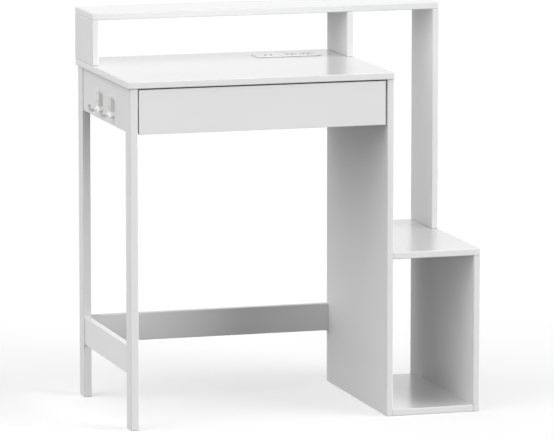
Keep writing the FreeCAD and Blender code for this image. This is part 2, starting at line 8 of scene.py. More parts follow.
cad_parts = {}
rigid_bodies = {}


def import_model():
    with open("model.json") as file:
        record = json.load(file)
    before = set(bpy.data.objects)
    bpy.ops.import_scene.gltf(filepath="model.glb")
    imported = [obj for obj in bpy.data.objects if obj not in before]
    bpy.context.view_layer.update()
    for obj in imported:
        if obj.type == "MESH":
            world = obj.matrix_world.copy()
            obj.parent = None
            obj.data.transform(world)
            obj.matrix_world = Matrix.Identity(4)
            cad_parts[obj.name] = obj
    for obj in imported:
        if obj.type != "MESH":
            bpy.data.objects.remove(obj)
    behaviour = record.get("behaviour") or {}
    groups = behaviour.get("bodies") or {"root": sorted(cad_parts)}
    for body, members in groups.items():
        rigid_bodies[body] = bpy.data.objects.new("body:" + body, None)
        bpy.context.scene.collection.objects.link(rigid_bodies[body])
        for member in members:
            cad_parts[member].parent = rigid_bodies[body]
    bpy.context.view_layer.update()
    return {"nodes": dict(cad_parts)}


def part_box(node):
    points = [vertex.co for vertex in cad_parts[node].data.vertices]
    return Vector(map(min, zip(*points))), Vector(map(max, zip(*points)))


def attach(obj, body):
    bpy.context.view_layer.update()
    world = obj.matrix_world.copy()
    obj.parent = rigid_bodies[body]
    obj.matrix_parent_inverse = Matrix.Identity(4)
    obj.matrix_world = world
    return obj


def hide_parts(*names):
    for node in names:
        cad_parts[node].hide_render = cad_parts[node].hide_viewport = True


for thing in list(bpy.data.objects):
    bpy.data.objects.remove(thing)
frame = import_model()
bpy.context.scene.view_settings.view_transform = "Standard"


# Desktop: 15 mm chipboard faced with white melamine, its sawn edges covered by glued ABS edging
# that is rounded over. It lies on the leg frame and the right panel, drawn down onto them by cam
# bolts from below, and it is sawn out for the power strip.
def wire(tree, kind, inputs=(), **settings):
    """Shader node with its sockets set to values or linked to other nodes' outputs."""
    made = tree.nodes.new("ShaderNode" + kind)
    for name, value in settings.items():
        setattr(made, name, value)
    for key, value in dict(inputs).items():
        if isinstance(value, bpy.types.NodeSocket):
            tree.links.new(value, made.inputs[key])
        else:
            made.inputs[key].default_value = value
    return made


def sums(tree, operation, *values):
    """Result of a Math node on values or other nodes' outputs."""
    return wire(tree, "Math", dict(enumerate(values)), operation=operation).outputs[0]


def ranged(tree, value, low, high, to_low, to_high):
    """Value brought from one range to another, without running past its ends."""
    made = wire(tree, "MapRange", {0: value, 1: low, 2: high, 3: to_low, 4: to_high})
    return made.outputs[0]


def blend(tree, share, first, second):
    """Colour between two others."""
    return wire(tree, "Mix", {0: share, 6: first, 7: second}, data_type="RGBA").outputs[2]


def noise(tree, place, scale, detail, grit=0.5):
    """Cloudy grey values between 0 and 1."""
    inputs = {"Vector": place, "Scale": scale, "Detail": detail, "Roughness": grit}
    return wire(tree, "TexNoise", inputs).outputs[0]


def edge_room(tree, place, info):
    """Distance from the nearest edge of a board, whose half sizes are kept as its object colour."""
    near = wire(tree, "VectorMath", {0: place}, operation="ABSOLUTE").outputs[0]
    room = wire(tree, "VectorMath", {0: info.outputs["Color"], 1: near}, operation="SUBTRACT").outputs[0]
    x, y, z = wire(tree, "SeparateXYZ", {0: room}).outputs
    least = sums(tree, "MINIMUM", x, y)
    most = sums(tree, "MAXIMUM", x, y)
    return sums(tree, "MAXIMUM", least, sums(tree, "MINIMUM", most, z))


def panel_finish(name, clean, clouded, worn, dull, shine, relief):
    """Printed white board: a sealed gloss on level faces, matt edging, clouding, worn and seamed edges."""
    seal_dull = 0.20
    edging_dull = 0.50
    uneven = 0.02
    worn_from = 0.0003
    worn_to = 0.0016
    worn_share = 0.18
    seam_place = 0.00175
    seam_half = 0.00014
    seam_share = 0.05
    peel_height = 0.00002
    material = bpy.data.materials.new(name)
    material.use_nodes = True
    tree = material.node_tree
    skin = tree.nodes["Principled BSDF"].inputs
    skin["Specular IOR Level"].default_value = shine
    skin["Coat Roughness"].default_value = seal_dull
    where = wire(tree, "TexCoord")
    place = where.outputs["Object"]
    info = wire(tree, "ObjectInfo")
    steep = wire(tree, "SeparateXYZ", {0: where.outputs["Normal"]}).outputs[2]
    level = ranged(tree, sums(tree, "ABSOLUTE", steep), 0.86, 0.99, 0.0, 1.0)
    tree.links.new(level, skin["Coat Weight"])
    own = wire(tree, "VectorMath", {0: place, 1: info.outputs["Random"]}, operation="ADD").outputs[0]
    clouds = ranged(tree, noise(tree, own, 5.0, 5.0), 0.35, 0.68, 0.0, 1.0)
    colour = blend(tree, clouds, clean, clouded)
    edge = edge_room(tree, place, info)
    chips = ranged(tree, noise(tree, own, 70.0, 6.0, 0.7), 0.56, 0.74, 0.0, 1.0)
    wear_and_highlight = sums(tree, "MULTIPLY", ranged(tree, edge, worn_from, worn_to, worn_share, 0.0), chips)
    colour = blend(tree, wear_and_highlight, colour, worn)
    seam = sums(tree, "COMPARE", edge, seam_place, seam_half)
    colour = blend(tree, ranged(tree, seam, 0.0, 1.0, 0.0, seam_share), colour, worn)
    tree.links.new(colour, skin["Base Color"])
    wipes = ranged(tree, noise(tree, own, 11.0, 2.0), 0.3, 0.7, -uneven, uneven)
    matt = ranged(tree, level, 0.0, 1.0, edging_dull, dull)
    tree.links.new(sums(tree, "ADD", wipes, matt), skin["Roughness"])
    peel = noise(tree, own, 420.0, 2.0)
    bump = wire(tree, "Bump", {"Strength": relief, "Distance": peel_height, "Height": peel})
    tree.links.new(bump.outputs[0], skin["Normal"])
    return material


def islands(node):
    """Points of each separate solid in a CAD node."""
    weld = 1e-6
    bm = bmesh.new()
    bm.from_mesh(frame["nodes"][node].data)
    bmesh.ops.remove_doubles(bm, verts=bm.verts, dist=weld)
    left = set(bm.verts)
    groups = []
    for start in bm.verts:
        if start not in left:
            continue
        left.remove(start)
        stack = [start]
        group = []
        while stack:
            vert = stack.pop()
            group.append(vert.co.copy())
            for edge in vert.link_edges:
                other = edge.other_vert(vert)
                if other in left:
                    left.remove(other)
                    stack.append(other)
        groups.append(group)
    bm.free()
    return groups


def span(points):
    """Lowest and highest corner of the box round some points."""
    low = Vector([min(p[i] for p in points) for i in range(3)])
    high = Vector([max(p[i] for p in points) for i in range(3)])
    return low, high


def ends(points, axis):
    """Centre, radius and number of points of the rings that close a round solid along an axis."""
    flush = 2e-5
    found = []
    for end in (min(p[axis] for p in points), max(p[axis] for p in points)):
        ring = [p for p in points if abs(p[axis] - end) < flush]
        low, high = span(ring)
        found.append(((low + high) / 2, max(high - low) / 2, len(ring)))
    return found


def sides(points):
    """Lengths of the box round some points."""
    low, high = span(points)
    return list(high - low)


def pin_ends(points):
    """Thin and thick end of a bolt or a screw, which lies along its longest side."""
    size = sides(points)
    return sorted(ends(points, size.index(max(size))), key=lambda ring: ring[1])


def disc_ends(points):
    """Plain and worked end of a cam disc, which has more points on its worked end."""
    size = sides(points)
    return sorted(ends(points, size.index(min(size))), key=lambda ring: ring[2])


def standing(foot, head):
    """Matrix at head whose Z runs on from foot through head."""
    return Matrix.Translation(head) @ (head - foot).to_track_quat("Z", "Y").to_matrix().to_4x4()


def seats():
    """Foot, mouth and radius of each round pocket that shows on a board: cams and sunk screw heads."""
    sunk_head = 0.003
    found = []
    for node in ("cam_discs", "drawer_cam_discs"):
        for points in islands(node):
            foot, mouth = disc_ends(points)
            found.append((foot[0], mouth[0], mouth[1]))
    for node in ("hutch_screws", "drawer_corner_screws"):
        for points in islands(node):
            foot, mouth = pin_ends(points)
            inward = (foot[0] - mouth[0]).normalized()
            found.append((mouth[0] + inward * sunk_head, mouth[0], mouth[1]))
    return found


def carve(piece, cutter, **settings):
    """Cut a bmesh, given in the piece's own space, out of the piece."""
    mesh = bpy.data.meshes.new("cutter")
    cutter.to_mesh(mesh)
    cutter.free()
    tool = bpy.data.objects.new("cutter", mesh)
    tool.matrix_world = piece.matrix_world
    bpy.context.collection.objects.link(tool)
    cut = piece.modifiers.new("cut", "BOOLEAN")
    cut.operation = "DIFFERENCE"
    cut.solver = "EXACT"
    cut.object = tool
    for name, value in settings.items():
        setattr(cut, name, value)
    return tool


def settle(piece, tools, sharp):
    """Apply what was stacked on a piece, drop its cutters and give it clean normals."""
    bpy.context.view_layer.update()
    shaped = piece.evaluated_get(bpy.context.evaluated_depsgraph_get())
    mesh = bpy.data.meshes.new_from_object(shaped)
    piece.modifiers.clear()
    piece.data = mesh
    for tool in tools:
        bpy.data.objects.remove(tool)
    mesh.shade_smooth()
    mesh.set_sharp_from_angle(angle=math.radians(sharp))
    flat = piece.modifiers.new("flat_faces", "WEIGHTED_NORMAL")
    flat.keep_sharp = True
    flat.weight = 100


def fit(piece, node, body, finish):
    """Let a finished piece stand for its CAD node."""
    piece.data.materials.clear()
    piece.data.materials.append(finish)
    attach(piece, body)
    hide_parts(node)


def block(low, high):
    """Box between two corners as a bmesh matrix."""
    return Matrix.Translation((low + high) / 2) @ Matrix.Diagonal((*(high - low), 1))


pockets = seats()


def board(node, body, finish, rounding=0.0020, butted=(), cuts=(), play=0.0):
    """Panel over a CAD board: edges rounded over, all but sharp on the sides that butt, pockets cut.

    The play is taken off at its right end.
    """
    all_but_sharp = 0.1
    reach = 0.0005
    overrun = 0.004
    room = 0.0001
    low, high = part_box(node)
    high.x -= play
    centre = (low + high) / 2
    half = (high - low) / 2
    bm = bmesh.new()
    bmesh.ops.create_cube(bm, size=2, matrix=Matrix.Diagonal((*half, 1)))
    weight = bm.edges.layers.float.new("bevel_weight_edge")
    for edge in bm.edges:
        middle = (edge.verts[0].co + edge.verts[1].co) / 2
        faces = {"-+"[middle[i] > 0] + "xyz"[i] for i in range(3) if abs(middle[i]) > half[i] / 2}
        edge[weight] = all_but_sharp if faces & set(butted) else 1.0
    mesh = bpy.data.meshes.new(node)
    bm.to_mesh(mesh)
    bm.free()
    piece = bpy.data.objects.new(node + "_panel", mesh)
    piece.location = centre
    piece.color = (*half, 1)
    bpy.context.collection.objects.link(piece)
    bpy.context.view_layer.update()
    edging = piece.modifiers.new("edging", "BEVEL")
    edging.width = rounding
    edging.segments = 4
    edging.limit_method = "WEIGHT"
    cutter = bmesh.new()
    for foot, mouth, radius in pockets:
        if all(low[i] - reach < foot[i] < high[i] + reach for i in range(3)):
            depth = (mouth - foot).length + overrun
            aim = standing(foot, mouth) @ Matrix.Translation((0, 0, overrun - depth / 2))
            aim.translation -= centre
            bmesh.ops.create_cone(cutter, cap_ends=True, segments=40, radius1=radius + room,
                                  radius2=radius + room, depth=depth, matrix=aim)
    for cut_low, cut_high in cuts:
        bmesh.ops.create_cube(cutter, size=1, matrix=block(cut_low - centre, cut_high - centre))
    tools = [carve(piece, cutter)] if cutter.verts else []
    settle(piece, tools, sharp=50)
    fit(piece, node, body, finish)


clean_white = (0.74, 0.74, 0.74, 1)
clouded_white = (0.73, 0.731, 0.733, 1)
bruised_white = (0.60, 0.585, 0.56, 1)
worktop = panel_finish("worktop_melamine", clean_white, clouded_white, bruised_white,
                       dull=0.32, shine=0.50, relief=0.10)
laminate = panel_finish("white_melamine", clean_white, clouded_white, bruised_white,
                        dull=0.48, shine=0.10, relief=0.10)
tray_low, tray_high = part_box("power_strip_housing")
saw_room = Vector((0.0003, 0.0003, 0.002))
board("desktop", "desk", worktop, cuts=[(tray_low - saw_room, tray_high + saw_room)])


# Left leg frame: two legs with an apron and a lower rail glued and dowelled between them from
# 18 mm white stock, apron and rail a little behind the legs' outer faces. It carries the desktop's
# left end and stands on the floor.
for leg in ("front_left_leg", "rear_left_leg"):
    board(leg, "desk", laminate)
board("left_side_apron", "desk", laminate, butted=("-y", "+y"))
board("left_lower_rail", "desk", worktop, butted=("-y", "+y"))


# Rear rails: two 15 mm boards on edge between the rear leg and the right panel, one cam and one
# dowel at each end. The upper one hides behind the drawer, the lower one braces the feet.
board("rear_top_rail", "desk", laminate, butted=("-x", "+x", "+z"))
board("rear_lower_rail", "desk", laminate, butted=("-x", "+x"))


# Right side panel: one full-height melamine board from floor to desktop, shared by the knee space
# and the side cabinet.
board("right_side_panel", "desk", laminate)


# Side cabinet: top, bottom and right panel of the same board, open at front and back. The top
# lies on the right panel, and both boards are drawn against the side panel by cams.
board("cabinet_top", "desk", worktop, butted=("-x",))
board("cabinet_bottom", "desk", worktop, butted=("-x", "+x"))
board("cabinet_right_panel", "desk", laminate, butted=("+z",))


# Hutch: two short uprights on the desktop and a tall one on the cabinet, screwed on from below,
# and one long shelf over all three, held by cams.
for upright in ("hutch_left_panel", "hutch_divider", "hutch_right_upright"):
    board(upright, "desk", laminate)
board("hutch_shelf", "desk", worktop)


# Knock-down fasteners: zinc die-cast cam discs and steel cam bolts, white plastic cover caps
# pressed over the cams that show, beech dowels in the leg frame and long screws under the hutch.
def turned(bm, profile, aim, steps=32):
    """Solid turned from (radius, height) points: a spindle between two axis points, else a ring."""
    rings = []
    for radius, height in profile:
        count = steps if radius else 1
        turns = [math.tau * k / steps for k in range(count)]
        rings.append([bm.verts.new(aim @ Vector((radius * math.cos(t), radius * math.sin(t), height)))
                      for t in turns])
    pairs = list(zip(rings, rings[1:]))
    if profile[0][0] and profile[-1][0]:
        pairs.append((rings[-1], rings[0]))
    for lower, upper in pairs:
        for k in range(steps):
            corners = [lower[k % len(lower)], lower[(k + 1) % steps % len(lower)],
                       upper[(k + 1) % steps % len(upper)], upper[k % len(upper)]]
            bm.faces.new(list(dict.fromkeys(corners)))


def cross(bm, aim, reach, width, depth):
    """Tapered cross-shaped recess below a screw or cam head."""
    mouth_scale = 1.12
    foot_scale = 0.62
    outline = []
    for k in range(4):
        turn = Matrix.Rotation(math.tau * k / 4, 4, "Z")
        for x, y in ((width, -width), (reach, -width), (reach, width)):
            outline.append(turn @ Vector((x, y, 0)))
    layers = []
    for height, scale in ((depth / 2, mouth_scale), (-depth, foot_scale)):
        layers.append([bm.verts.new(aim @ Vector((p.x * scale, p.y * scale, height))) for p in outline])
    upper, lower = layers
    for k in range(len(outline)):
        j = (k + 1) % len(outline)
        bm.faces.new((lower[k], lower[j], upper[j], upper[k]))
    bm.faces.new(upper)
    bm.faces.new(lower[::-1])


def solid(name, bm, cutter=None, sharp=40):
    """Piece from a bmesh, with a second one cut out of it."""
    bmesh.ops.recalc_face_normals(bm, faces=bm.faces)
    mesh = bpy.data.meshes.new(name)
    bm.to_mesh(mesh)
    bm.free()
    piece = bpy.data.objects.new(name, mesh)
    bpy.context.collection.objects.link(piece)
    tools = []
    if cutter is not None:
        bmesh.ops.recalc_face_normals(cutter, faces=cutter.faces)
        tools.append(carve(piece, cutter))
    settle(piece, tools, sharp)
    return piece


def finish_of(name, tone, other, dull, metal=0.0, scale=60.0, stretch=(1, 1, 1), relief=0.15, patch=0.05):
    """Plastic or metal skin: two close tones in patches, uneven gloss and a fine relief."""
    grain_height = 0.00004
    finer = 9
    material = bpy.data.materials.new(name)
    material.use_nodes = True
    tree = material.node_tree
    skin = tree.nodes["Principled BSDF"].inputs
    skin["Metallic"].default_value = metal
    place = wire(tree, "TexCoord").outputs["Object"]
    mapped = wire(tree, "Mapping", {0: place, 3: stretch}).outputs[0]
    patches = ranged(tree, noise(tree, place, scale, 6.0), 0.35, 0.7, 0.0, 1.0)
    tree.links.new(blend(tree, patches, tone, other), skin["Base Color"])
    grain = noise(tree, mapped, scale * finer, 3.0)
    tree.links.new(ranged(tree, grain, 0.3, 0.7, dull - patch, dull + patch), skin["Roughness"])
    bump = wire(tree, "Bump", {"Strength": relief, "Distance": grain_height, "Height": grain})
    tree.links.new(bump.outputs[0], skin["Normal"])
    return material


def dress(node, finish):
    """Finish on a CAD piece that shows as it is."""
    skins = frame["nodes"][node].data.materials
    skins.clear()
    skins.append(finish)


zinc = finish_of("bright_zinc", (0.60, 0.61, 0.63, 1), (0.47, 0.48, 0.50, 1),
                 dull=0.34, metal=1.0, scale=320.0)
cap_white = finish_of("cap_plastic", (0.78, 0.78, 0.78, 1), (0.74, 0.74, 0.735, 1),
                      dull=0.40, metal=0.0, scale=220.0)
beech = finish_of("beech", (0.58, 0.40, 0.24, 1), (0.43, 0.27, 0.15, 1),
                  dull=0.60, metal=0.0, scale=150.0, stretch=(1, 8, 1), relief=0.3)


def threaded(start, stop, outer, pitch):
    """Profile of screw turns between two heights."""
    core = outer * 0.74
    turns = max(1, round((stop - start) / pitch))
    step = (stop - start) / turns
    points = []
    for k in range(turns):
        points.append((core, start + step * k))
        points.append((outer, start + step * (k + 0.5)))
    points.append((core, stop))
    return points


def screws(node, body, head_radius, head_height, radius, finish=zinc, sunk=False):
    """All the screws of a CAD node, with a cross recess in each head."""
    pitch = 0.0013
    point = 0.002
    tip = 0.0006
    rim = 0.0004
    crown = 0.00002
    bm = bmesh.new()
    cutter = bmesh.new()
    for points in islands(node):
        foot, head = pin_ends(points)
        aim = standing(foot[0], head[0])
        length = (head[0] - foot[0]).length
        thread = threaded(-length + point, -head_height - tip, radius, pitch)
        if sunk:
            top = [(radius * 0.8, -head_height), (head_radius * 0.98, -rim), (head_radius * 0.98, 0)]
        else:
            top = [(head_radius * 0.97, -head_height), (head_radius, -head_height * 0.75),
                   (head_radius * 0.9, -head_height * 0.25), (head_radius * 0.62, -crown)]
        turned(bm, [(0, -length), (radius * 0.35, -length + tip)] + thread + top + [(0, 0)], aim, steps=24)
        cross(cutter, aim, head_radius * 0.62, head_radius * 0.15, head_height * 0.62)
    fit(solid(node + "_set", bm, cutter), node, body, finish)


def cam_bolts(node, body):
    """Bolts with a threaded foot, a plain shank, and a necked head for the cam to draw in."""
    tip = 0.0012
    thread = 0.0025
    pitch = 0.0015
    shank = 0.0030
    neck = 0.0021
    head_wide = 0.0034
    crown = 0.0026
    bm = bmesh.new()
    for points in islands(node):
        foot, head = pin_ends(points)
        length = (head[0] - foot[0]).length
        profile = [(0, -length), (tip, -length + 0.0004)]
        profile += threaded(-length + 0.0014, -length + 0.0100, thread, pitch)
        profile += [(shank, -length + 0.0112), (shank, -0.0062), (neck, -0.0054), (neck, -0.0032),
                    (head_wide, -0.0026), (head_wide, -0.0006), (crown, 0), (0, 0)]
        turned(bm, profile, standing(foot[0], head[0]), steps=24)
    fit(solid(node + "_set", bm), node, body, zinc)


def cam_discs(node, bolts, body):
    """Discs with a drive cross, a rim and the channel that takes the bolt's head."""
    chamfer = 0.0006
    rim_round = 0.0004
    rim_width = 0.0012
    rim_foot = 0.0015
    dish = 0.0005
    drive_sink = 0.0004
    drive_reach = 0.0031
    drive_width = 0.0007
    drive_depth = 0.0018
    channel_radius = 0.0037
    channel_length = 0.0122
    head_run = 0.012
    heads = [pin_ends(points) for points in islands(bolts)]
    bm = bmesh.new()
    crosses = bmesh.new()
    channels = bmesh.new()
    for points in islands(node):
        foot, mouth = disc_ends(points)
        middle = (foot[0] + mouth[0]) / 2
        aim = standing(foot[0], mouth[0])
        depth = (mouth[0] - foot[0]).length
        rim = mouth[1]
        profile = [(0, -depth), (rim - chamfer, -depth), (rim, -depth + chamfer), (rim, -rim_round),
                   (rim - rim_round, 0), (rim - rim_width, 0), (rim - rim_foot, -dish), (0, -dish)]
        turned(bm, profile, aim, steps=40)
        drive = aim @ Matrix.Translation((0, 0, -drive_sink))
        cross(crosses, drive, drive_reach, drive_width, drive_depth)
        tail, head = min(heads, key=lambda pair: (pair[1][0] - middle).length)
        reach = (tail[0] - head[0]).normalized() * head_run
        along = standing(head[0], head[0] + reach) @ Matrix.Translation((0, 0, -head_run / 2))
        bmesh.ops.create_cone(channels, cap_ends=True, segments=28, radius1=channel_radius,
                              radius2=channel_radius, depth=channel_length, matrix=along)
    piece = solid(node + "_set", bm, crosses)
    settle(piece, [carve(piece, channels)], sharp=40)
    fit(piece, node, body, zinc)


def cam_caps():
    """Thin caps with a rounded rim and a slightly sunk face, each seated on its cam."""
    room = 0.00005
    chamfer = 0.0004
    rim_inset = 0.00025
    rim_width = 0.0006
    rim_sink = 0.0001
    face_sink = 0.00006
    bm = bmesh.new()
    for points in islands("cam_caps"):
        size = sides(points)
        rings = ends(points, size.index(min(size)))
        disc = min(pockets, key=lambda pocket: (pocket[1] - rings[0][0]).length)
        foot, mouth = sorted(rings, key=lambda ring: (ring[0] - disc[1]).length)
        rim = mouth[1] - room
        deep = (mouth[0] - foot[0]).length
        profile = [(0, -deep), (rim - chamfer, -deep), (rim, -deep + chamfer), (rim, -chamfer),
                   (rim - rim_inset, -rim_sink), (rim - rim_width, 0), (rim * 0.5, -face_sink),
                   (0, -rim_sink)]
        turned(bm, profile, standing(foot[0], mouth[0]), steps=40)
    fit(solid("cam_caps_set", bm), "cam_caps", "desk", cap_white)


dress("frame_dowels", beech)
cam_bolts("cam_bolts", "desk")
cam_discs("cam_discs", "cam_bolts", "desk")
cam_caps()
screws("hutch_screws", "desk", head_radius=0.0045, head_height=0.003, radius=0.0025, sunk=True)


# Drawer: a handle-less front between leg and panel, with play at its right end, on a box of 12 mm
# melamine sides and back with a white hardboard bottom in a groove. Cams hold the front, screws the
# back corners.
hardboard = panel_finish("white_hardboard", (0.70, 0.70, 0.69, 1), (0.66, 0.655, 0.64, 1),
                         (0.36, 0.28, 0.20, 1), dull=0.52, shine=0.30, relief=0.30)
bottom_low, bottom_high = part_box("drawer_bottom")
slack = Vector((0.0001, 0.0001, 0.0001))
groove = [(bottom_low - slack, bottom_high + slack)]
board("drawer_front", "drawer", laminate, rounding=0.0010, cuts=groove, play=0.0005)
board("drawer_left_side", "drawer", laminate, rounding=0.0006, butted=("-y",), cuts=groove)
board("drawer_right_side", "drawer", laminate, rounding=0.0006, butted=("-y",), cuts=groove)
board("drawer_back", "drawer", laminate, rounding=0.0006, butted=("-x", "+x"), cuts=groove)
board("drawer_bottom", "drawer", hardboard, rounding=0.0003)
cam_bolts("drawer_cam_bolts", "drawer")
cam_discs("drawer_cam_discs", "drawer_cam_bolts", "drawer")
screws("drawer_corner_screws", "drawer", head_radius=0.0045, head_height=0.003, radius=0.0025, sunk=True)


# Roller runners: cold-rolled steel sheet folded into a channel on the carcase and a rail under the
# drawer side, enamelled white. Each carries one nylon roller on a riveted axle.
def folded(node, body, line, sheet, bend):
    """Sheet bent along a line of (x, z) points, as long as its CAD node is deep."""
    bend_steps = 6
    low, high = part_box(node)
    outlines = []
    for side in (1, -1):
        edge = []
        for k, point in enumerate(line):
            before = (point - line[k - 1]).normalized() if k else None
            after = (line[k + 1] - point).normalized() if k + 1 < len(line) else None
            if before is None or after is None:
                run = after or before
                edge.append(point + Vector((-run.y, run.x)) * side * sheet / 2)
                continue
            turn = before.x * after.y - before.y * after.x
            radius = bend + (-sheet / 2 if turn * side > 0 else sheet / 2)
            heart = point - before * bend + Vector((-before.y, before.x)) * math.copysign(bend, turn)
            first = -math.copysign(1, turn) * Vector((-before.y, before.x))
            for step in range(bend_steps + 1):
                angle = math.copysign(math.pi / 2, turn) * step / bend_steps
                spoke = Vector((first.x * math.cos(angle) - first.y * math.sin(angle),
                                first.x * math.sin(angle) + first.y * math.cos(angle)))
                edge.append(heart + spoke * radius)
        outlines.append(edge)
    loop = outlines[0] + outlines[1][::-1]
    bm = bmesh.new()
    near = [bm.verts.new((p.x, low.y, p.y)) for p in loop]
    far = [bm.verts.new((p.x, high.y, p.y)) for p in loop]
    half = len(loop) // 2
    for k in range(len(loop)):
        j = (k + 1) % len(loop)
        bm.faces.new((near[k], near[j], far[j], far[k]))
    for k in range(half - 1):
        for cap in (near, far):
            bm.faces.new((cap[k], cap[k + 1], cap[-k - 2], cap[-k - 1]))
    fit(solid(node + "_sheet", bm), node, body, enamel)


def roller_profile(wide, rim):
    """Half of a roller's section, from its bore over the hub and a sunk web to its tread."""
    bore = 0.00305
    hub = 0.0048
    hub_foot = 0.0052
    web_sink = 0.0009
    web_rim = 0.0024
    rim_width = 0.0020
    rim_round = 0.0006
    return [(bore, -wide), (hub, -wide), (hub_foot, -wide + web_sink), (rim - web_rim, -wide + web_sink),
            (rim - rim_width, -wide), (rim - rim_round, -wide), (rim, -wide + rim_round)]


enamel = finish_of("white_enamel", (0.72, 0.72, 0.71, 1), (0.67, 0.67, 0.66, 1),
                   dull=0.36, metal=0.0, scale=90.0, relief=0.25)
nylon = finish_of("nylon", (0.74, 0.735, 0.71, 1), (0.69, 0.685, 0.65, 1),
                  dull=0.46, metal=0.0, scale=260.0, relief=0.2)
sheet = 0.0012
bend = 0.0012
channel_lip = 0.0072
rail_width = 0.0075
for side, inward in (("left", 1), ("right", -1)):
    low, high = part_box(side + "_cabinet_runner")
    wall = low.x if inward > 0 else high.x
    reach = high.x - low.x
    web = wall + inward * sheet / 2
    line = [Vector((wall + inward * channel_lip, high.z - sheet / 2)), Vector((web, high.z - sheet / 2)),
            Vector((web, low.z + sheet / 2)), Vector((wall + inward * reach, low.z + sheet / 2))]
    folded(side + "_cabinet_runner", "desk", line, sheet, bend)
    low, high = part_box(side + "_drawer_runner")
    near = low.x if inward > 0 else high.x
    far = high.x if inward > 0 else low.x
    web = near + inward * (rail_width + sheet / 2)
    line = [Vector((near, high.z - sheet / 2)), Vector((web, high.z - sheet / 2)),
            Vector((web, low.z + sheet / 2)), Vector((far, low.z + sheet / 2))]
    folded(side + "_drawer_runner", "drawer", line, sheet, bend)
    for place in ("front", "rear"):
        roller = side + "_" + place + "_roller"
        low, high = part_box(roller)
        profile = roller_profile((high.x - low.x) / 2, (high.z - low.z) / 2)
        profile += [(radius, -height) for radius, height in profile[::-1]]
        aim = Matrix.Translation((low + high) / 2) @ Matrix.Rotation(math.pi / 2, 4, "Y")
        bm = bmesh.new()
        turned(bm, profile, aim, steps=48)
        fit(solid(roller + "_wheel", bm), roller, roller, nylon)
axle_tail = 0.0020
tail_chamfer = 0.0003
axle_pin = 0.0030
axle_head = 0.0045
head_height = 0.0008
for node, body in (("front_roller_axles", "desk"), ("rear_roller_axles", "drawer")):
    bm = bmesh.new()
    for points in islands(node):
        foot, head = sorted(ends(points, 0), key=lambda ring: ring[1])
        length = (head[0] - foot[0]).length
        profile = [(0, -length), (axle_tail - tail_chamfer, -length), (axle_tail, -length + tail_chamfer),
                   (axle_tail, -length + sheet), (axle_pin, -length + sheet), (axle_pin, -head_height),
                   (axle_head, -head_height), (0.0044, -0.0005), (0.0034, -0.0001), (0.0022, 0), (0, 0)]
        turned(bm, profile, standing(foot[0], head[0]))
    fit(solid(node + "_rivets", bm), node, body, zinc)
screws("runner_screws", "desk", head_radius=0.0032, head_height=0.0014, radius=0.0017)
screws("drawer_runner_screws", "drawer", head_radius=0.0032, head_height=0.0014, radius=0.0017)


# Coat hooks: die-cast zinc with a satin nickel plate. A flat base, leaning out at its top end, is
# screwed to the apron, and an arm swings out and up from it into a ball. Light and shade are painted
# into the plate's colour: painted shade on the faces that look straight out from the apron, on faces
# turned down and at the arm's far end, and a painted highlight on the arm's upper side and at its root.
chrome = finish_of("hook_chrome", (0.69, 0.685, 0.670, 1), (0.65, 0.645, 0.630, 1),
                   dull=0.22, metal=1.0, scale=120.0, relief=0.05, patch=0.03)
base_depth = 0.010
hook_low, hook_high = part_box("front_hook")
hook_face = hook_high.x - base_depth
arm_height = hook_low.z + (hook_high.y - hook_low.y) / 2
painted_side_shade = (0.575, 0.57, 0.56, 1)
painted_under_shade = (0.47, 0.465, 0.455, 1)
painted_highlight = (0.96, 0.955, 0.94, 1)
tree = chrome.node_tree
plate = tree.nodes["Principled BSDF"].inputs["Base Color"]
where = wire(tree, "TexCoord")
toward = wire(tree, "SeparateXYZ", {0: where.outputs["Normal"]}).outputs
spot = wire(tree, "SeparateXYZ", {0: where.outputs["Object"]}).outputs
# Painted shade: faces that look straight out from the apron turn a flat grey.
sideways = ranged(tree, toward[0], -0.9, -0.6, 1.0, 0.0)
tone = blend(tree, sideways, plate.links[0].from_socket, painted_side_shade)
# Painted shade: faces turned down, and the arm's far end where its faces turn outward, turn a darker grey.
far_out = ranged(tree, spot[0], hook_face - 0.010, hook_face - 0.006, 1.0, 0.0)
outward = ranged(tree, toward[0], -0.5, 0.1, 1.0, 0.3)
downward = ranged(tree, toward[2], -0.6, -0.1, 1.0, 0.0)
shade = sums(tree, "MAXIMUM", downward, sums(tree, "MULTIPLY", far_out, outward))
tone = blend(tree, shade, tone, painted_under_shade)
# Painted highlight: the arm's root and the arm's upper side near the base turn near white.
low_down = ranged(tree, spot[2], arm_height + 0.0036, arm_height + 0.0050, 1.0, 0.0)
at_root = ranged(tree, spot[0], hook_face - 0.0060, hook_face - 0.0030, 0.0, 1.0)
not_below = ranged(tree, toward[2], -0.75, -0.45, 0.0, 1.0)
root = sums(tree, "MULTIPLY", sums(tree, "MULTIPLY", low_down, at_root), not_below)
upward = ranged(tree, toward[2], 0.25, 0.65, 0.0, 1.0)
near_base = ranged(tree, spot[0], hook_face - 0.008, hook_face - 0.004, 0.0, 1.0)
wear_and_highlight = sums(tree, "MAXIMUM", sums(tree, "MULTIPLY", upward, near_base), root)
tree.links.new(blend(tree, wear_and_highlight, tone, painted_highlight), plate)


def walled(bm, rings):
    """Faces between rings of points, and one over each end."""
    for lower, upper in zip(rings, rings[1:]):
        for k in range(len(lower)):
            j = (k + 1) % len(lower)
            bm.faces.new((lower[k], lower[j], upper[j], upper[k]))
    bm.faces.new(rings[0])
    bm.faces.new(rings[-1])


